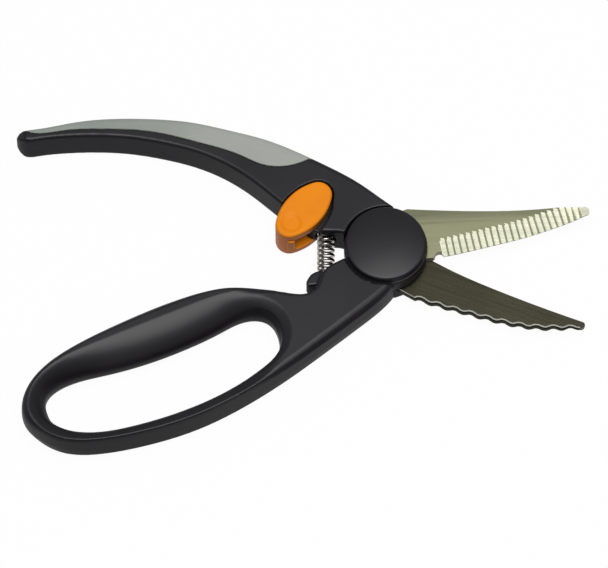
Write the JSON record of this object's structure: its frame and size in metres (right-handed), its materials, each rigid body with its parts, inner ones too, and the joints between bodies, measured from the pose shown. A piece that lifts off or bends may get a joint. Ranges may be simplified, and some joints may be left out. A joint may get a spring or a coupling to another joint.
{
  "type": "poultry shears",
  "caption": "Spring-opening poultry shears with a finger loop, a curved palm handle with a soft grip, serrated and scalloped blades, a large pivot cap and a lock lever.",
  "frame": {"origin": "on the pivot axis, in the plane of the far faces that the shears lie on", "axes": "+X from the pivot towards the blade tips, midway between the open halves; +Z along the pivot axis, out through the large near cap; +Y to the side of the serrated blade and of the palm handle's arm"},
  "size_m": [0.2416, 0.1495, 0.02],
  "materials": {
    "black_plastic": "satin, lightly grained",
    "grip_rubber": "soft matte",
    "orange_plastic": "satin gloss",
    "near_blade_steel": "brushed along the blade",
    "far_blade_steel": "fine brushed",
    "spring_steel": "bright drawn wire",
    "pivot_steel": "turned",
    "bush_brass": "turned"
  },
  "bodies": {
    "loop_half": {"loop_handle": "black_plastic", "serrated_blade": "near_blade_steel", "pivot_bush": "bush_brass", "pivot_bolt": "pivot_steel", "pivot_nut": "pivot_steel", "spring_washer": "spring_steel", "slip_washer": "bush_brass", "pivot_cap": "black_plastic", "return_spring": "spring_steel"},
    "palm_half": {"palm_handle": "black_plastic", "soft_grip": "grip_rubber", "scalloped_blade": "far_blade_steel", "rear_cap": "black_plastic", "lever_pin": "pivot_steel"},
    "lever": {"lock_lever": "orange_plastic"}
  },
  "joints": [
    {"name": "pivot", "type": "hinge", "parent": "loop_half", "child": "palm_half", "pos_m": [0, 0, 0.0085], "axis": [0, 0, 1], "range_deg": [0, 34], "stiffness_Nm_per_rad": 1.5, "springref_deg": -5.73, "deforming": ["return_spring"]},
    {"name": "lever_swing", "type": "hinge", "parent": "palm_half", "child": "lever", "pos_m": [-0.02918, 0.02189, 0.0085], "axis": [0, 0, 1], "range_deg": [0, 12]}
  ]
}
